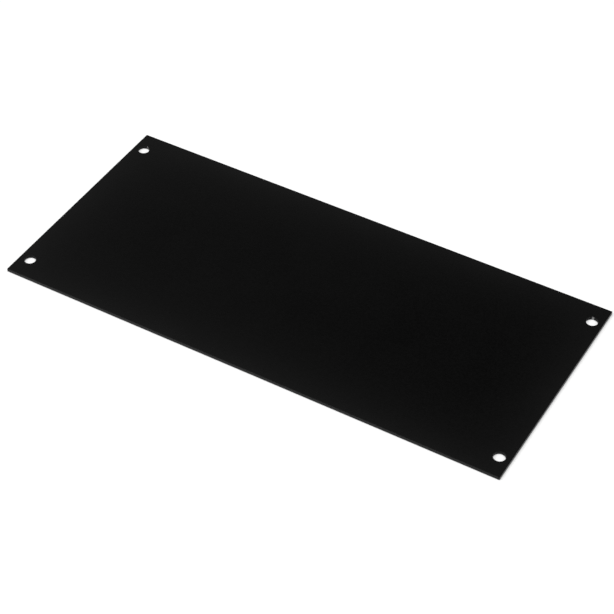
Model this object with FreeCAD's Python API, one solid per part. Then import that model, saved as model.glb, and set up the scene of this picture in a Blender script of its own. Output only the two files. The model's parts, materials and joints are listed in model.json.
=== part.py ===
import FreeCAD
import Part

import os

# Blanking panel for a 19-inch equipment rack, five rack units high.
#
# The panel is one flat aluminium sheet, coated black all over. It covers an
# unused bay of the rack and is held against the two rack rails by four screws.
# It has no fold, no flange and nothing fixed to it: only a plain round hole
# near each corner.
#
# Frame: the sheet lies on its inner face with the outer face up. X runs across
# the rack, Y up the bay and +Z out of the outer face. The origin is the centre
# of the inner face, which bears on the rails. All lengths are in millimetres.

# A bay is counted in rack units, and its panel is a little lower than the bay,
# so that it never binds against its neighbours.
RACK_UNITS = 5
RACK_UNIT_HEIGHT = 44.45
BAY_CLEARANCE = 0.79

PANEL_WIDTH = 482.6
SHEET_THICKNESS = 3.0

# The corners of the outline are cut square and only eased by hand.
CORNER_RADIUS = 0.5

# Screw holes. They are wide, so that M6 screws in the rails' own holes, which
# stand 465.1 mm apart in rows 177.8 mm apart, pass through them with play.
HOLE_DIAMETER = 10.5
HOLE_END_INSET = 10.2
HOLE_ROW_INSET = 20.4

# The sheet is sheared and punched from its outer face. That draws the edges of
# the outline and of the holes down into a soft round there, and leaves a burr
# on the inner face, which is broken off as a small chamfer.
OUTER_EDGE_ROUND = 0.35
INNER_EDGE_CHAMFER = 0.2

# Share of the stock beside an edge that its round or chamfer may take up.
EDGE_SHARE = 0.4

# How near to a plane or to a line counts as lying on it.
ON_PLANE = 1e-6

NODE_NAME = "blanking_panel"
PARTS_FOLDER = "parts"


def panel_height():
    """Height of the panel: its bay less the clearance."""
    return RACK_UNITS * RACK_UNIT_HEIGHT - BAY_CLEARANCE


def rounded_rectangle(width, height, radius):
    """Closed outline of a rectangle centred on the origin, with an arc at each corner."""
    right = width / 2
    top = height / 2
    middle_of_arc = radius * (1 - 0.5 ** 0.5)
    edges = []
    corner_signs = [(1, 1), (-1, 1), (-1, -1), (1, -1)]
    arcs = []
    for sign_x, sign_y in corner_signs:
        on_side = FreeCAD.Vector(sign_x * right, sign_y * (top - radius), 0)
        on_end = FreeCAD.Vector(sign_x * (right - radius), sign_y * top, 0)
        middle = FreeCAD.Vector(sign_x * (right - middle_of_arc), sign_y * (top - middle_of_arc), 0)
        first, last = (on_side, on_end) if sign_x == sign_y else (on_end, on_side)
        arcs.append((first, middle, last))
    for corner, (first, middle, last) in enumerate(arcs):
        next_first = arcs[(corner + 1) % len(arcs)][0]
        edges.append(Part.Arc(first, middle, last).toShape())
        edges.append(Part.LineSegment(last, next_first).toShape())
    return Part.Wire(edges)


def hole_centres():
    """Centres of the four screw holes, on the inner face."""
    across = PANEL_WIDTH / 2 - HOLE_END_INSET
    up = panel_height() / 2 - HOLE_ROW_INSET
    centres = []
    for sign_y in (-1, 1):
        for sign_x in (-1, 1):
            centres.append(FreeCAD.Vector(sign_x * across, sign_y * up, 0))
    return centres


def blank_sheet():
    """The sheared sheet before its holes are punched."""
    outline = rounded_rectangle(PANEL_WIDTH, panel_height(), CORNER_RADIUS)
    return Part.Face(outline).extrude(FreeCAD.Vector(0, 0, SHEET_THICKNESS))


def punch(centre):
    """The punch that goes through the sheet at one hole."""
    return Part.makeCylinder(HOLE_DIAMETER / 2, SHEET_THICKNESS, centre)


def rim_edges(shape, level):
    """Edges of a sheet that lie in the face at one level: its outline and its holes' rims."""
    rims = []
    for edge in shape.Edges:
        box = edge.BoundBox
        if abs(box.ZMin - level) < ON_PLANE and abs(box.ZMax - level) < ON_PLANE:
            rims.append(edge)
    return rims


def edge_size(wanted):
    """Size of an edge's round or chamfer: as wanted, or what the stock beside it allows."""
    web = min(HOLE_END_INSET, HOLE_ROW_INSET) - HOLE_DIAMETER / 2
    return min(wanted, EDGE_SHARE * SHEET_THICKNESS, EDGE_SHARE * web)


def finished_panel():
    """The panel, punched and with the edges of both faces eased."""
    sheet = blank_sheet()
    for centre in hole_centres():
        sheet = sheet.cut(punch(centre))
    outer_round = edge_size(OUTER_EDGE_ROUND)
    sheet = sheet.makeFillet(outer_round, rim_edges(sheet, SHEET_THICKNESS))
    inner_chamfer = edge_size(INNER_EDGE_CHAMFER)
    return sheet.makeChamfer(inner_chamfer, rim_edges(sheet, 0))


os.makedirs(PARTS_FOLDER, exist_ok=True)
panel = finished_panel()
panel.exportStep(os.path.join(PARTS_FOLDER, NODE_NAME + ".step"))
print(NODE_NAME, "volume", panel.Volume, "mm3, valid", panel.isValid())
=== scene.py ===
"""Rack blanking panel: the finished look of one coated aluminium sheet.

The sheet is modelled in the order in which it is made. A quarter of the blank
is laid out with its screw hole, mirrored to the whole, given its thickness and
eased along its rims. It is then dressed in a satin black powder coat, with one
finish for the two flat faces, one for the outline that the shear cut and one
for the walls of the punched holes, where hooks have left two bare marks.

Everything is in metres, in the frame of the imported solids: X across the rack,
Y up the bay, Z out of the outer face, and the panel lying on its inner face.
"""

import json
import logging
import math
from dataclasses import dataclass, field
from enum import Enum
from typing import Any, Callable, Dict, List, Sequence, Tuple, Union

import bpy
from mathutils import Matrix, Vector

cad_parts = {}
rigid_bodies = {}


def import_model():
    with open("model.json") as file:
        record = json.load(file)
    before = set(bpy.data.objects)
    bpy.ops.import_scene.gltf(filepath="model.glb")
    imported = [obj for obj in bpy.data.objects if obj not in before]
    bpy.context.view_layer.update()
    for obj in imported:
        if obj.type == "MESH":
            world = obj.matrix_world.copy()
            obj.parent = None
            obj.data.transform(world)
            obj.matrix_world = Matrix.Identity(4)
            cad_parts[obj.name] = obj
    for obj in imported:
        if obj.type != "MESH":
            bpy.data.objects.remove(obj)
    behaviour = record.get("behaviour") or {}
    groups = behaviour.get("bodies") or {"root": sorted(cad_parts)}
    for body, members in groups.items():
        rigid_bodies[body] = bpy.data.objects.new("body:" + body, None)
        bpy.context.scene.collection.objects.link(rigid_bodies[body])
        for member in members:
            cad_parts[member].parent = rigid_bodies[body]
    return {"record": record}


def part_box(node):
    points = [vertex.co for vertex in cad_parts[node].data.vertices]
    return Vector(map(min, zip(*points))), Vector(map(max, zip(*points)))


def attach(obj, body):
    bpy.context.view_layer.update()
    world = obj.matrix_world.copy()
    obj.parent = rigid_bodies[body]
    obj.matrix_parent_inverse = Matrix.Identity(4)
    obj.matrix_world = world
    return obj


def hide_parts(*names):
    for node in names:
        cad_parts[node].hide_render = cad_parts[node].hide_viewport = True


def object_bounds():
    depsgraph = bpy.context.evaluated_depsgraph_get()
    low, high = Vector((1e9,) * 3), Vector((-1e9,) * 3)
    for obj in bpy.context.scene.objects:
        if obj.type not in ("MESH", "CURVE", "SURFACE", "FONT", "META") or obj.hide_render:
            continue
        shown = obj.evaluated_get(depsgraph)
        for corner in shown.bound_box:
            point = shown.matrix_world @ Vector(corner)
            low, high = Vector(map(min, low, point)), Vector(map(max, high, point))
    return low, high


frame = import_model()
CAD_LOW, CAD_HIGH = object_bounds()

LOG = logging.getLogger("rack_panel")
MM = 0.001
# How near two places have to be to count as one.
TOUCHING = 1e-6
# A face lies flat where the Z part of its normal is above this.
FLAT_NORMAL = 1 - 1e-6
# The mean of a noise texture's values.
NOISE_MEAN = 0.5

Colour = Tuple[float, float, float, float]
# A socket's name, or its number where a node has several of that name.
Socket = Union[str, int]
# What a node's input sockets hold: values, or sockets to link from.
Inputs = Dict[Socket, Any]


def grey(level: float) -> Colour:
    """A neutral colour of one linear level."""
    return (level, level, level, 1.0)


# ---------------------------------------------------------------------------
# Modelling by hand: selections and modifiers
# ---------------------------------------------------------------------------


class Pick(Enum):
    """What a stay in edit mode selects."""

    CORNERS = "VERT"
    EDGES = "EDGE"
    FACES = "FACE"


def make_active(item: bpy.types.Object) -> None:
    """Make one object the only selected one, and the active one.

    Args:
        item: the object.
    """
    for other in bpy.context.view_layer.objects:
        other.select_set(False)
    item.select_set(True)
    bpy.context.view_layer.objects.active = item


def apply_modifier(item: bpy.types.Object, kind: str, **settings: Any) -> None:
    """Add a modifier to a piece and apply it at once.

    Args:
        item: the piece to change.
        kind: Blender's name for the modifier, such as "MIRROR".
        settings: the modifier's properties and their values.
    """
    make_active(item)
    modifier = item.modifiers.new(kind.lower(), kind)
    for name, value in settings.items():
        setattr(modifier, name, value)
    bpy.ops.object.modifier_apply(modifier=modifier.name)


class EditMode:
    """A stay in edit mode on one piece, with nothing selected at its start."""

    def __init__(self, item: bpy.types.Object, kind: Pick) -> None:
        """Note the piece and what is to be selected on it."""
        self.item = item
        self.kind = kind

    def __enter__(self) -> "EditMode":
        """Go into edit mode."""
        make_active(self.item)
        bpy.ops.object.mode_set(mode="EDIT")
        bpy.ops.mesh.select_mode(type=self.kind.value)
        bpy.ops.mesh.select_all(action="DESELECT")
        return self

    def __exit__(self, *_: Any) -> None:
        """Go back to object mode."""
        bpy.ops.object.mode_set(mode="OBJECT")

    def elements(self) -> Sequence[Any]:
        """Look up what this stay selects.

        Returns:
            The mesh's vertices, edges or faces, as they stand in object mode.
        """
        mesh = self.item.data
        kinds = {Pick.CORNERS: mesh.vertices, Pick.EDGES: mesh.edges, Pick.FACES: mesh.polygons}
        return kinds[self.kind]

    def places(self, element: Any) -> List[Vector]:
        """Look up where an element's corners are.

        Args:
            element: a vertex, an edge or a face of the mesh.

        Returns:
            The place of each of its corners.
        """
        vertices = self.item.data.vertices
        if self.kind is Pick.CORNERS:
            return [element.co]
        return [vertices[number].co for number in element.vertices]

    def select_all(self) -> None:
        """Select the whole mesh."""
        bpy.ops.mesh.select_all(action="SELECT")

    def select(self, wanted: Callable[[List[Vector]], bool], keep: bool = False) -> None:
        """Select the elements whose corners pass a test.

        Args:
            wanted: a test of the places of one element's corners.
            keep: whether to look only among what is selected already.
        """
        bpy.ops.object.mode_set(mode="OBJECT")
        chosen = []
        for element in self.elements():
            if (element.select or not keep) and wanted(self.places(element)):
                chosen.append(element.index)
        bpy.ops.object.mode_set(mode="EDIT")
        bpy.ops.mesh.select_all(action="DESELECT")
        bpy.ops.object.mode_set(mode="OBJECT")
        for number in chosen:
            self.elements()[number].select = True
        bpy.ops.object.mode_set(mode="EDIT")


# ---------------------------------------------------------------------------
# The sheet
# ---------------------------------------------------------------------------


class Side(Enum):
    """The two flat faces of the sheet."""

    OUTER = "outer"
    INNER = "inner"


class Region(Enum):
    """The kinds of surface on the sheet, by the number of their material slot."""

    FACE = 0
    SHEARED = 1
    PUNCHED = 2


@dataclass(frozen=True)
class Easing:
    """How the sheet's corners and rims are eased. The sizes are its solid's."""

    corner_radius: float = 0.5 * MM
    outer_round: float = 0.35 * MM
    inner_chamfer: float = 0.2 * MM
    corner_segments: int = 6
    round_segments: int = 5
    chamfer_segments: int = 1
    # An edge that turns by more degrees than this is a rim.
    rim_angle: float = 60.0
    # An edge that turns by more degrees than this stays sharp to the eye.
    crease_angle: float = 30.0


@dataclass(frozen=True)
class HolePattern:
    """The screw holes, one in each quarter of the sheet."""

    from_middle_x: float
    from_middle_y: float
    radius: float
    # Half the side of the square of stock that is marked off round a hole.
    stock: float = 7.5 * MM
    # Segments along each side of that square, and along a quarter of the hole.
    segments: int = 18

    @classmethod
    def from_record(cls, record: Dict[str, Any], mount: str = "screw_holes") -> "HolePattern":
        """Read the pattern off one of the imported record's bolt patterns.

        Args:
            record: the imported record.
            mount: the bolt pattern's name.

        Returns:
            The pattern.
        """
        dims = next(entry["dims"] for entry in record["mounts"] if entry["name"] == mount)
        return cls(
            from_middle_x=dims["spacing_x_mm"] / 2 * MM,
            from_middle_y=dims["spacing_y_mm"] / 2 * MM,
            radius=dims["hole_r_mm"] * MM,
        )

    def in_stock(self, place: Vector) -> bool:
        """Tell whether a place lies in the stock round a hole.

        Args:
            place: any place on the sheet.

        Returns:
            True inside the square of stock of any of the four holes.
        """
        across = abs(abs(place.x) - self.from_middle_x)
        up = abs(abs(place.y) - self.from_middle_y)
        return max(across, up) < self.stock

    def on_stock_square(self, places: List[Vector]) -> bool:
        """Tell whether places lie on the outline of the stock round the first quarter's hole.

        Args:
            places: the places of one element's corners.

        Returns:
            True where all of them lie on it.
        """
        for place in places:
            across = abs(place.x - self.from_middle_x)
            up = abs(place.y - self.from_middle_y)
            if abs(max(across, up) - self.stock) > TOUCHING:
                return False
        return True


@dataclass
class Sheet:
    """The panel itself: one punched and coated sheet."""

    holes: HolePattern
    easing: Easing = field(default_factory=Easing)
    node: str = "blanking_panel"
    name: str = "coated_panel"
    slot: str = "black_coat"
    body: str = "root"

    def __post_init__(self) -> None:
        """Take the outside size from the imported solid."""
        self.low, self.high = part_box(self.node)
        self.half = (self.high - self.low) / 2
        self.thickness = self.high.z - self.low.z

    def build(self) -> bpy.types.Object:
        """Model the sheet and let it stand for its solid.

        Returns:
            The finished piece. Its object is at the origin, its place in its mesh.
        """
        sheet = self.quarter_blank()
        self.round_corner(sheet)
        self.punch_hole(sheet)
        apply_modifier(sheet, "MIRROR", use_axis=(True, True, False), merge_threshold=TOUCHING)
        self.thicken(sheet)
        self.ease_rims(sheet, Side.OUTER)
        self.ease_rims(sheet, Side.INNER)
        self.smooth(sheet)
        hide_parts(self.node)
        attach(sheet, self.body)
        return sheet

    def quarter_blank(self) -> bpy.types.Object:
        """Lay out the quarter of the outer face that has the +X +Y corner.

        Returns:
            The new piece, so far one square face.
        """
        bpy.ops.mesh.primitive_plane_add(size=1, location=(0, 0, 0))
        sheet = bpy.context.object
        sheet.name = self.name
        with EditMode(sheet, Pick.CORNERS) as edit:
            edit.select_all()
            bpy.ops.transform.resize(value=(self.half.x, self.half.y, 1))
            bpy.ops.transform.translate(value=(self.half.x / 2, self.half.y / 2, self.high.z))
        return sheet

    def round_corner(self, sheet: bpy.types.Object) -> None:
        """Ease the blank's own corner.

        Args:
            sheet: the quarter of the blank.
        """
        corner = Vector((self.half.x, self.half.y, self.high.z))
        with EditMode(sheet, Pick.CORNERS) as edit:
            edit.select(lambda places: (places[0] - corner).length < TOUCHING)
            bpy.ops.mesh.bevel(
                affect="VERTICES",
                offset=self.easing.corner_radius,
                segments=self.easing.corner_segments,
            )

    def punch_hole(self, sheet: bpy.types.Object) -> None:
        """Open the quarter's screw hole in a square of stock marked off round it.

        Args:
            sheet: the quarter of the blank.
        """
        holes = self.holes
        with EditMode(sheet, Pick.EDGES) as edit:
            for offset in (-holes.stock, holes.stock):
                edit.select_all()
                across = (holes.from_middle_x + offset, 0, 0)
                bpy.ops.mesh.bisect(plane_co=across, plane_no=(1, 0, 0))
                edit.select_all()
                up = (0, holes.from_middle_y + offset, 0)
                bpy.ops.mesh.bisect(plane_co=up, plane_no=(0, 1, 0))
        with EditMode(sheet, Pick.FACES) as edit:
            edit.select(holes.on_stock_square)
            bpy.ops.mesh.delete(type="ONLY_FACE")
        # The hole's rim stands clear above the face until it is bridged to the
        # square, because two loops in one plane can be joined the wrong way round.
        clear = holes.stock
        with EditMode(sheet, Pick.EDGES) as edit:
            edit.select(holes.on_stock_square)
            bpy.ops.mesh.subdivide(number_cuts=holes.segments - 1)
            bpy.ops.mesh.primitive_circle_add(
                vertices=4 * holes.segments,
                radius=holes.radius,
                location=(holes.from_middle_x, holes.from_middle_y, self.high.z + clear),
            )
            edit.select(lambda places: self.stands_clear(places) or holes.on_stock_square(places))
            bpy.ops.mesh.bridge_edge_loops()
        with EditMode(sheet, Pick.CORNERS) as edit:
            edit.select(self.stands_clear)
            bpy.ops.transform.translate(value=(0, 0, -clear))

    def stands_clear(self, places: List[Vector]) -> bool:
        """Whether places all lie above the sheet's outer face."""
        return all(place.z > self.high.z + TOUCHING for place in places)

    def thicken(self, sheet: bpy.types.Object) -> None:
        """Draw the outer face down into the whole thickness of the sheet.

        Args:
            sheet: the whole outer face, with its four holes.
        """
        down = (0, 0, -self.thickness)
        with EditMode(sheet, Pick.FACES) as edit:
            edit.select_all()
            bpy.ops.mesh.extrude_region_move(TRANSFORM_OT_translate={"value": down})
            edit.select_all()
            bpy.ops.mesh.normals_make_consistent(inside=False)

    def ease_rims(self, sheet: bpy.types.Object, side: Side) -> None:
        """Ease the outline and the holes' rims on one face.

        Args:
            sheet: the sheet at its full thickness.
            side: the outer face's rims are rounded, the inner face's are chamfered.
        """
        easing = self.easing
        level, size, segments = {
            Side.OUTER: (self.high.z, easing.outer_round, easing.round_segments),
            Side.INNER: (self.low.z, easing.inner_chamfer, easing.chamfer_segments),
        }[side]

        def on_face(places: List[Vector]) -> bool:
            """Whether places all lie in the plane of the face."""
            return all(abs(place.z - level) < TOUCHING for place in places)

        with EditMode(sheet, Pick.EDGES) as edit:
            bpy.ops.mesh.edges_select_sharp(sharpness=math.radians(easing.rim_angle))
            edit.select(on_face, keep=True)
            bpy.ops.mesh.bevel(affect="EDGES", offset=size, segments=segments)

    def smooth(self, sheet: bpy.types.Object) -> None:
        """Shade rounds and hole walls as curves, and keep flat faces flat.

        Args:
            sheet: the sheet with its rims eased.
        """
        make_active(sheet)
        bpy.ops.object.shade_smooth_by_angle(angle=math.radians(self.easing.crease_angle))
        apply_modifier(sheet, "WEIGHTED_NORMAL", keep_sharp=True)

    def dress(self, sheet: bpy.types.Object, coats: Dict[Region, bpy.types.Material]) -> None:
        """Give each region of the sheet its coat.

        Args:
            sheet: the finished sheet.
            coats: a material for each region.
        """
        for region in Region:
            sheet.data.materials.append(coats[region])
        for face in sheet.data.polygons:
            face.material_index = self.region(face).value

    def region(self, face: bpy.types.MeshPolygon) -> Region:
        """Tell what kind of surface a face belongs to.

        Args:
            face: a face of the finished sheet.

        Returns:
            The flat faces, the sheared outline, or the wall and rims of a punched hole.
        """
        if abs(face.normal.z) > FLAT_NORMAL:
            return Region.FACE
        return Region.PUNCHED if self.holes.in_stock(face.center) else Region.SHEARED


# ---------------------------------------------------------------------------
# The coat
# ---------------------------------------------------------------------------


class Canvas:
    """A node tree that is filled from left to right."""

    # How far apart its nodes are laid.
    COLUMN = 220

    def __init__(self, tree: bpy.types.NodeTree) -> None:
        """Start on an empty tree."""
        self.tree = tree
        self.tree.nodes.clear()

    def add(self, kind: str, inputs: Inputs | None = None, **settings: Any) -> bpy.types.Node:
        """Add a node.

        Args:
            kind: Blender's name for the node.
            inputs: what its sockets hold, as a value or as a socket to link from.
            settings: its properties and their values.

        Returns:
            The new node.
        """
        node = self.tree.nodes.new(kind)
        node.location = (self.COLUMN * len(self.tree.nodes), 0)
        for name, value in settings.items():
            setattr(node, name, value)
        for name, value in (inputs or {}).items():
            socket = self.socket(node.inputs, name)
            if isinstance(value, bpy.types.NodeSocket):
                self.tree.links.new(value, socket)
            else:
                socket.default_value = value
        return node

    def take(self, kind: str, output: Socket, inputs: Inputs | None = None, **settings: Any) -> Any:
        """Add a node as add does, and return one of its output sockets."""
        return self.socket(self.add(kind, inputs, **settings).outputs, output)

    @staticmethod
    def socket(sockets: Sequence[bpy.types.NodeSocket], wanted: Socket) -> bpy.types.NodeSocket:
        """Find one of a node's sockets.

        Args:
            sockets: the node's inputs or outputs.
            wanted: its number, or its name among those in use.

        Returns:
            The socket.
        """
        if isinstance(wanted, int):
            return sockets[wanted]
        return next(socket for socket in sockets if socket.name == wanted and socket.enabled)

    def math(self, operation: str, *values: Any) -> Any:
        """Work out one value from one or more values or sockets, and return its socket."""
        return self.take("ShaderNodeMath", "Value", dict(enumerate(values)), operation=operation)

    def spread(self, pattern: Any, low: Any, high: Any, middle: float = 0.4) -> Any:
        """Map the middle of a pattern's range onto a range of values.

        Args:
            pattern: the socket of a pattern from 0 to 1.
            low: the value at the low end, or a socket that gives it.
            high: the value at the high end, or a socket that gives it.
            middle: how much of the pattern's range is used.

        Returns:
            The socket of the mapped value.
        """
        ends = {
            "Value": pattern,
            "From Min": NOISE_MEAN - middle / 2,
            "From Max": NOISE_MEAN + middle / 2,
            "To Min": low,
            "To Max": high,
        }
        return self.take("ShaderNodeMapRange", "Result", ends)

    def fade(self, value: Any, over: Tuple[float, float], first: Any, last: Any) -> Any:
        """Pass softly from one value to another.

        Args:
            value: the socket that decides between them.
            over: its value where the passage starts, and where it ends.
            first: the value before, or its socket.
            last: the value after, or its socket.

        Returns:
            The socket of the result.
        """
        start, end = over
        ends = {"Value": value, "From Min": start, "From Max": end, "To Min": first, "To Max": last}
        return self.take("ShaderNodeMapRange", "Result", ends, interpolation_type="SMOOTHSTEP")

    def between(self, share: Any, low: Any, high: Any, data_type: str = "FLOAT") -> Any:
        """Mix two values or two colours.

        Args:
            share: how much of the second one there is.
            low: the first, or its socket.
            high: the second, or its socket.
            data_type: FLOAT for values, RGBA for colours.

        Returns:
            The socket of the mixture.
        """
        mixed = {"Factor": share, "A": low, "B": high}
        return self.take("ShaderNodeMix", "Result", mixed, data_type=data_type)


class CoatGrain:
    """The surface of a powder coat, as a node group that every coat here shares.

    The powder melts into a skin with soft, shallow waves and leaves a fine
    grain on them. Where the skin lies thicker it is blacker and smoother.
    Towards the outline of the sheet its colour is painted a little paler, in a
    frame of painted glare that stands in for the light that brightens its edges.
    """

    NAME = "powder_coat_grain"
    INPUTS = {
        "Place": "NodeSocketVector",
        "Half Size": "NodeSocketVector",
        "Glare Reach": "NodeSocketFloat",
        "Clouds Per Metre": "NodeSocketFloat",
        "Waves Per Metre": "NodeSocketFloat",
        "Grains Per Metre": "NodeSocketFloat",
        "Grain Share": "NodeSocketFloat",
        "Thin Colour": "NodeSocketColor",
        "Thick Colour": "NodeSocketColor",
        "Glare Colour": "NodeSocketColor",
        "Least Roughness": "NodeSocketFloat",
        "Most Roughness": "NodeSocketFloat",
    }
    OUTPUTS = {
        "Colour": "NodeSocketColor",
        "Roughness": "NodeSocketFloat",
        "Height": "NodeSocketFloat",
    }
    # How many finer layers each noise has, and how strong those of the clouds are.
    CLOUD_DETAIL = 5.0
    CLOUD_FINENESS = 0.7
    WAVE_DETAIL = 1.0
    GRAIN_DETAIL = 2.0
    # How much of the skin's thickness goes with the waves and not with the clouds,
    # and how much of their common range the thickness uses.
    WAVES_IN_THICKNESS = 0.4
    THICKNESS_RANGE = 0.3
    # How much of the dullness goes with the grains and not with the waves.
    GRAINS_IN_DULLNESS = 0.5
    # The least and the most that the clouds make of the frame of painted glare.
    GLARE_UNEVENNESS = (0.8, 1.2)

    def __init__(self) -> None:
        """Make the group with its sockets, and fill it."""
        self.tree = bpy.data.node_groups.new(self.NAME, "ShaderNodeTree")
        for name, kind in self.INPUTS.items():
            self.tree.interface.new_socket(name, in_out="INPUT", socket_type=kind)
        for name, kind in self.OUTPUTS.items():
            self.tree.interface.new_socket(name, in_out="OUTPUT", socket_type=kind)
        self.fill(Canvas(self.tree))

    def fill(self, canvas: Canvas) -> None:
        """Lay the group's nodes.

        Args:
            canvas: the group's canvas.
        """
        given = canvas.add("NodeGroupInput").outputs
        place = given["Place"]
        clouds = self.noise(
            canvas, place, given["Clouds Per Metre"], self.CLOUD_DETAIL, self.CLOUD_FINENESS
        )
        waves = self.noise(canvas, place, given["Waves Per Metre"], self.WAVE_DETAIL)
        grains = self.noise(canvas, place, given["Grains Per Metre"], self.GRAIN_DETAIL)
        build_up = canvas.between(self.WAVES_IN_THICKNESS, clouds, waves)
        thickness = canvas.spread(build_up, 0.0, 1.0, middle=self.THICKNESS_RANGE)
        middle = canvas.between(thickness, given["Thin Colour"], given["Thick Colour"], "RGBA")
        unevenness = canvas.spread(clouds, *self.GLARE_UNEVENNESS)
        # Paint the glare: the colour turns paler in a frame along the sheet's outline.
        painted_glare = canvas.math("MULTIPLY", self.frame(canvas, given), unevenness)
        colour = canvas.between(painted_glare, middle, given["Glare Colour"], "RGBA")
        dullness = canvas.between(self.GRAINS_IN_DULLNESS, waves, grains)
        roughness = canvas.spread(dullness, given["Most Roughness"], given["Least Roughness"])
        height = canvas.between(given["Grain Share"], waves, grains)
        canvas.add("NodeGroupOutput", {"Colour": colour, "Roughness": roughness, "Height": height})

    @staticmethod
    def frame(canvas: Canvas, given: bpy.types.bpy_prop_collection) -> Any:
        """Work out how much painted glare lies at a place.

        Args:
            canvas: the group's canvas.
            given: the group's inputs, by name.

        Returns:
            The socket of the share, from nearly 0 in the sheet's middle to 1 on its outline.
        """
        place = canvas.add("ShaderNodeSeparateXYZ", {"Vector": given["Place"]}).outputs
        half = canvas.add("ShaderNodeSeparateXYZ", {"Vector": given["Half Size"]}).outputs
        clear = []
        for axis in ("X", "Y"):
            past_edge = canvas.math("SUBTRACT", canvas.math("ABSOLUTE", place[axis]), half[axis])
            reaches = canvas.math("DIVIDE", past_edge, given["Glare Reach"])
            near_edge = canvas.math("EXPONENT", reaches)
            clear.append(canvas.math("SUBTRACT", 1.0, near_edge))
        return canvas.math("SUBTRACT", 1.0, canvas.math("MULTIPLY", *clear))

    @staticmethod
    def noise(
        canvas: Canvas, place: Any, per_metre: Any, detail: float, fineness: float = 0.5
    ) -> Any:
        """Add a soft three-dimensional noise.

        Args:
            canvas: the group's canvas.
            place: the socket of the place that it is read at.
            per_metre: its scale, or the socket that gives it.
            detail: how many finer layers it has.
            fineness: how strong each finer layer is against the one before.

        Returns:
            The socket of its value.
        """
        settings = {"Vector": place, "Scale": per_metre, "Detail": detail, "Roughness": fineness}
        return canvas.take("ShaderNodeTexNoise", "Fac", settings)


@dataclass(frozen=True)
class Coat:
    """A satin black powder coat, as it lies on one kind of surface."""

    name: str
    thin_colour: float = 0.0022
    thick_colour: float = 0.0008
    # The paler colour of the painted glare along the sheet's outline.
    glare_colour: float = 0.007
    # How far from the sheet's outline the painted glare has faded to about a third.
    glare_reach: float = 26 * MM
    least_roughness: float = 0.24
    most_roughness: float = 0.34
    clouds_per_metre: float = 16.0
    waves_per_metre: float = 420.0
    grains_per_metre: float = 2200.0
    grain_share: float = 0.55
    # How far the highest place of the skin stands above the lowest.
    relief: float = 0.03 * MM
    # How far the marks of the shear and the punch still show through the skin.
    cut_marks: float = 0.0
    # How fine these marks are along the cut and, as a part of that, through the sheet.
    marks_per_metre: float = 3200.0
    marks_drawn_out: float = 0.06
    marks_detail: float = 2.0
    refraction: float = 1.33

    def material(self, grain: CoatGrain, sheet: Sheet) -> bpy.types.Material:
        """Make the coat's material.

        Args:
            grain: the surface that all coats share.
            sheet: the sheet that it lies on.

        Returns:
            The material, patterned on the place in the piece's own mesh.
        """
        made = bpy.data.materials.new(self.name)
        made.use_nodes = True
        canvas = Canvas(made.node_tree)
        place = canvas.take("ShaderNodeTexCoord", "Object")
        surface = canvas.add("ShaderNodeGroup", node_tree=grain.tree)
        values = {
            "Half Size": sheet.half,
            "Glare Reach": self.glare_reach,
            "Clouds Per Metre": self.clouds_per_metre,
            "Waves Per Metre": self.waves_per_metre,
            "Grains Per Metre": self.grains_per_metre,
            "Grain Share": self.grain_share,
            "Thin Colour": grey(self.thin_colour),
            "Thick Colour": grey(self.thick_colour),
            "Glare Colour": grey(self.glare_colour),
            "Least Roughness": self.least_roughness,
            "Most Roughness": self.most_roughness,
        }
        canvas.tree.links.new(place, surface.inputs["Place"])
        for name, value in values.items():
            surface.inputs[name].default_value = value
        skin = self.skin(canvas, place, surface.outputs, sheet)
        shader = canvas.take("ShaderNodeBsdfPrincipled", "BSDF", skin)
        canvas.add("ShaderNodeOutputMaterial", {"Surface": shader})
        return made

    def skin(self, canvas: Canvas, place: Any, surface: Any, sheet: Sheet) -> Dict[str, Any]:
        """Work out what the shader's sockets hold.

        Args:
            canvas: the material's canvas.
            place: the socket of the place in the piece's mesh.
            surface: the outputs of the surface that all coats share.
            sheet: the sheet that the coat lies on.

        Returns:
            A value or a socket for each of the shader's sockets that the coat sets.
        """
        waves = {"Height": surface["Height"], "Distance": self.relief}
        normal = canvas.take("ShaderNodeBump", "Normal", waves)
        if self.cut_marks:
            lines = self.cut_lines(canvas, place)
            marks = {"Height": lines, "Distance": self.cut_marks, "Normal": normal}
            normal = canvas.take("ShaderNodeBump", "Normal", marks)
        return {
            "Base Color": surface["Colour"],
            "Roughness": surface["Roughness"],
            "Normal": normal,
            "IOR": self.refraction,
        }

    def cut_lines(self, canvas: Canvas, place: Any) -> Any:
        """Add the fine lines that a blade leaves through a sheet's thickness.

        Args:
            canvas: the material's canvas.
            place: the socket of the place in the piece's mesh.

        Returns:
            The socket of their height.
        """
        drawn_out = {"Vector": place, "Scale": (1.0, 1.0, self.marks_drawn_out)}
        along = canvas.take("ShaderNodeMapping", "Vector", drawn_out)
        return CoatGrain.noise(canvas, along, self.marks_per_metre, self.marks_detail)


@dataclass(frozen=True)
class HookMark:
    """Where a hook held the sheet by the upper wall of a hole, so that powder is missing."""

    # The hole in the upper row: -1 is the left one, 1 the right one.
    side: int
    # How far the mark lies from the hole's top towards the middle of the sheet.
    inward: float
    width: float
    # How much of the powder is missing in its middle, from 0 to 1.
    bareness: float


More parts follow.
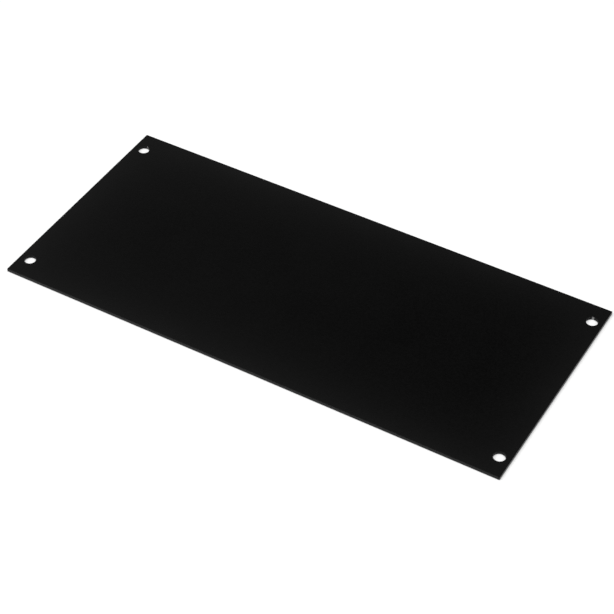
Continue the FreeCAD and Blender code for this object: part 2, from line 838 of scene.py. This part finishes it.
@dataclass(frozen=True)
class PunchedCoat(Coat):
    """The coat on the walls of the holes, with the marks of the hooks that it was coated on."""

    hook_marks: Tuple[HookMark, ...] = (
        HookMark(side=-1, inward=1.0 * MM, width=1.5 * MM, bareness=0.55),
        HookMark(side=1, inward=1.5 * MM, width=1.8 * MM, bareness=1.0),
    )
    # How fine and how far a mark's edges fray, and how softly the powder thins out there.
    frays_per_metre: float = 700.0
    fray_detail: float = 3.0
    ragged: float = 3.0 * MM
    thinning: float = 0.7 * MM
    metal_colour: float = 0.32
    metal_roughness: float = 0.6

    def skin(self, canvas: Canvas, place: Any, surface: Any, sheet: Sheet) -> Dict[str, Any]:
        """Work out what the shader's sockets hold, with bare metal at the hook marks.

        Args:
            canvas: the material's canvas.
            place: the socket of the place in the piece's mesh.
            surface: the outputs of the surface that all coats share.
            sheet: the sheet that the coat lies on.

        Returns:
            A value or a socket for each of the shader's sockets that the coat sets.
        """
        skin = super().skin(canvas, place, surface, sheet)
        bare = self.bare_places(canvas, place, sheet.holes)
        metal = grey(self.metal_colour)
        skin["Base Color"] = canvas.between(bare, skin["Base Color"], metal, "RGBA")
        skin["Roughness"] = canvas.between(bare, skin["Roughness"], self.metal_roughness)
        skin["Metallic"] = bare
        return skin

    def bare_places(self, canvas: Canvas, place: Any, holes: HolePattern) -> Any:
        """Mark off the bare places.

        Args:
            canvas: the material's canvas.
            place: the socket of the place in the piece's mesh.
            holes: the holes that the hooks went through.

        Returns:
            The socket of a mask, from 0 under a whole coat to 1 on bare metal.
        """
        where = canvas.add("ShaderNodeSeparateXYZ", {"Vector": place}).outputs
        frays = CoatGrain.noise(canvas, place, self.frays_per_metre, self.fray_detail)
        wander = canvas.math("MULTIPLY", canvas.math("SUBTRACT", frays, NOISE_MEAN), self.ragged)
        bare = 0.0
        for mark in self.hook_marks:
            middle = mark.side * (holes.from_middle_x - mark.inward)
            aside = canvas.math("ABSOLUTE", canvas.math("SUBTRACT", where["X"], middle))
            edge = ((mark.width - self.thinning) / 2, (mark.width + self.thinning) / 2)
            spot = canvas.fade(canvas.math("ADD", aside, wander), edge, mark.bareness, 0.0)
            bare = canvas.math("MAXIMUM", bare, spot)
        in_upper_wall = canvas.math("GREATER_THAN", where["Y"], holes.from_middle_y)
        return canvas.math("MULTIPLY", bare, in_upper_wall)


COATS = {
    Region.FACE: Coat(name="face_coat"),
    Region.SHEARED: Coat(
        name="sheared_edge_coat",
        grain_share=0.2,
        relief=0.01 * MM,
        cut_marks=0.006 * MM,
        refraction=1.27,
    ),
    # The powder reaches the wall of a hole only thinly, and lies dull there.
    Region.PUNCHED: PunchedCoat(
        name="punched_wall_coat",
        least_roughness=0.5,
        most_roughness=0.6,
        grain_share=0.2,
        relief=0.01 * MM,
        cut_marks=0.006 * MM,
        refraction=1.25,
    ),
}


# ---------------------------------------------------------------------------
# The studio
# ---------------------------------------------------------------------------


@dataclass(frozen=True)
class Softbox:
    """A square soft lamp that looks at the middle of the panel."""

    name: str
    # Where it stands: its bearing from the front and its height above the floor,
    # both in degrees, and its distance.
    bearing: float
    elevation: float
    distance: float
    side: float
    power: float


@dataclass
class Viewpoint:
    """Where the camera stands, and its lens."""

    # Its bearing from the front, its height above the floor and its tilt, in degrees.
    bearing: float = 30.0
    elevation: float = 43.38
    roll: float = 0.39
    distance: float = 1.63
    # What it looks at, on the panel's outer face.
    aim_x: float = 11.4 * MM
    aim_y: float = -18.6 * MM
    # Both in millimetres.
    lens: float = 110.6
    sensor: float = 36.0

    def make(self, level: float) -> bpy.types.Object:
        """Set up the camera.

        Args:
            level: the height of the panel's outer face.

        Returns:
            The camera, made the scene's own.
        """
        aim = Vector((self.aim_x, self.aim_y, level))
        back = direction(self.bearing, self.elevation)
        lens = bpy.data.cameras.new("camera")
        lens.sensor_width = self.sensor
        lens.lens = self.lens
        camera = bpy.data.objects.new("camera", lens)
        bpy.context.scene.collection.objects.link(camera)
        upright = back.to_track_quat("Z", "Y").to_matrix().to_4x4()
        tilt = Matrix.Rotation(math.radians(self.roll), 4, "Z")
        camera.matrix_world = Matrix.Translation(aim + back * self.distance) @ upright @ tilt
        bpy.context.scene.camera = camera
        return camera


def direction(bearing: float, elevation: float) -> Vector:
    """The way towards a place in the studio.

    Args:
        bearing: degrees round from the front of the panel, towards its right end.
        elevation: degrees above the floor.

    Returns:
        A vector of length 1.
    """
    turn = math.radians(bearing)
    lift = math.radians(elevation)
    along = math.cos(lift)
    return Vector((math.sin(turn) * along, -math.cos(turn) * along, math.sin(lift)))


@dataclass
class Studio:
    """A plain pale floor in a plain soft light, under a dim ceiling."""

    floor_side: float = 12.0
    # The panel lies this far above the floor's own surface.
    floor_gap: float = 0.1 * MM
    floor_colour: float = 0.7
    # What the floor adds of its own for the camera, to come out white: beside the
    # panel, and far off, where less light falls.
    floor_lift: float = 0.42
    far_floor_lift: float = 0.75
    far_floor: Tuple[float, float] = (0.6, 3.0)
    # Nearer to the panel than this the floor adds less, so that their contact is dark: a painted
    # contact shadow.
    contact_reach: float = 0.8 * MM
    # What the floor adds in reflections.
    mirror_lift: float = 0.3
    # The even light of the sky, and then the room that reflections see in its place.
    sky_fill: float = 0.35
    horizon: float = 0.3
    ceiling_left: float = 0.115
    ceiling_right: float = 0.01
    # Where the ceiling turns from left to right, and how it starts above the
    # horizon, as parts of the way's X and Z.
    ceiling_turns: Tuple[float, float] = (-0.32, -0.28)
    ceiling_starts: Tuple[float, float] = (0.0, 0.35)
    softboxes: Tuple[Softbox, ...] = (
        Softbox("key_lamp", bearing=-45.0, elevation=55.0, distance=3.3, side=2.4, power=61.5),
        Softbox("fill_lamp", bearing=75.0, elevation=55.0, distance=3.3, side=2.4, power=30.7),
    )

    def build(self) -> None:
        """Set up the floor, the world and the lamps."""
        self.set_view()
        self.floor()
        self.world()
        for softbox in self.softboxes:
            self.lamp(softbox)

    @staticmethod
    def set_view() -> None:
        """Show colours as they are written."""
        bpy.context.scene.view_settings.view_transform = "Standard"

    def floor(self) -> None:
        """Lay the floor, which shows from above only, so that the inner face can be seen."""
        middle = (0, 0, CAD_LOW.z - self.floor_gap)
        bpy.ops.mesh.primitive_plane_add(size=self.floor_side, location=middle)
        ground = bpy.context.object
        ground.name = "floor"
        ground.data.materials.append(self.floor_material())

    def floor_material(self) -> bpy.types.Material:
        """Make the floor white, with the panel's shadow kept.

        Returns:
            The floor's material.
        """
        made = bpy.data.materials.new("floor")
        made.use_nodes = True
        canvas = Canvas(made.node_tree)
        rays = canvas.add("ShaderNodeLightPath").outputs
        mirrored = canvas.math("MAXIMUM", rays["Is Glossy Ray"], rays["Is Transmission Ray"])
        mirror_lift = canvas.math("MULTIPLY", mirrored, self.mirror_lift)
        place = canvas.take("ShaderNodeTexCoord", "Object")
        away = canvas.take("ShaderNodeVectorMath", "Value", {0: place}, operation="LENGTH")
        white = canvas.fade(away, self.far_floor, self.floor_lift, self.far_floor_lift)
        # The ambient occlusion paints a contact shadow into the floor's glow.
        clear = canvas.take("ShaderNodeAmbientOcclusion", "AO", {"Distance": self.contact_reach})
        seen_lift = canvas.math("MULTIPLY", white, clear)
        lift = canvas.between(rays["Is Camera Ray"], mirror_lift, seen_lift)
        lit = canvas.take("ShaderNodeBsdfDiffuse", "BSDF", {"Color": grey(self.floor_colour)})
        glow = canvas.take("ShaderNodeEmission", "Emission", {"Color": grey(1.0), "Strength": lift})
        above = canvas.take("ShaderNodeAddShader", 0, {0: lit, 1: glow})
        below = canvas.take("ShaderNodeBsdfTransparent", "BSDF")
        from_below = canvas.take("ShaderNodeNewGeometry", "Backfacing")
        surface = canvas.take("ShaderNodeMixShader", 0, {0: from_below, 1: above, 2: below})
        canvas.add("ShaderNodeOutputMaterial", {"Surface": surface})
        return made

    def world(self) -> None:
        """Make the sky: white to the camera, an even fill light, and in reflections a dim room.

        The room's horizon is pale. Its ceiling is dim on the left and dark on the right.
        """
        made = bpy.data.worlds.new("studio")
        made.use_nodes = True
        bpy.context.scene.world = made
        canvas = Canvas(made.node_tree)
        rays = canvas.add("ShaderNodeLightPath").outputs
        facing = canvas.take("ShaderNodeTexCoord", "Generated")
        way = canvas.add("ShaderNodeSeparateXYZ", {"Vector": facing}).outputs
        ceiling = canvas.fade(way["X"], self.ceiling_turns, self.ceiling_left, self.ceiling_right)
        room = canvas.fade(way["Z"], self.ceiling_starts, self.horizon, ceiling)
        gloss = canvas.between(rays["Is Glossy Ray"], self.sky_fill, room)
        seen = canvas.between(rays["Is Camera Ray"], gloss, 1.0)
        light = {"Color": grey(1.0), "Strength": seen}
        sky = canvas.take("ShaderNodeBackground", "Background", light)
        canvas.add("ShaderNodeOutputWorld", {"Surface": sky})

    def lamp(self, softbox: Softbox) -> None:
        """Hang one softbox.

        Args:
            softbox: the lamp's size, place and power.
        """
        light = bpy.data.lights.new(softbox.name, "AREA")
        light.shape = "SQUARE"
        light.size = softbox.side
        light.energy = softbox.power
        lamp = bpy.data.objects.new(softbox.name, light)
        bpy.context.scene.collection.objects.link(lamp)
        away = direction(softbox.bearing, softbox.elevation)
        turned = away.to_track_quat("Z", "Y").to_matrix().to_4x4()
        lamp.matrix_world = Matrix.Translation(away * softbox.distance) @ turned


# ---------------------------------------------------------------------------
# Putting it together
# ---------------------------------------------------------------------------


def main() -> None:
    """Build the panel and its studio, and report each piece."""
    logging.basicConfig(level=logging.INFO, format="%(name)s: %(message)s")
    Viewpoint().make(CAD_HIGH.z)
    panel = Sheet(holes=HolePattern.from_record(frame["record"]))
    piece = panel.build()
    grain = CoatGrain()
    panel.dress(piece, {region: coat.material(grain, panel) for region, coat in COATS.items()})
    LOG.info("%s: %d faces, stands for %s", piece.name, len(piece.data.polygons), panel.node)
    studio = Studio()
    studio.build()
    LOG.info("studio: floor, world and %d lamps", len(studio.softboxes))


if __name__ == "__main__":
    main()
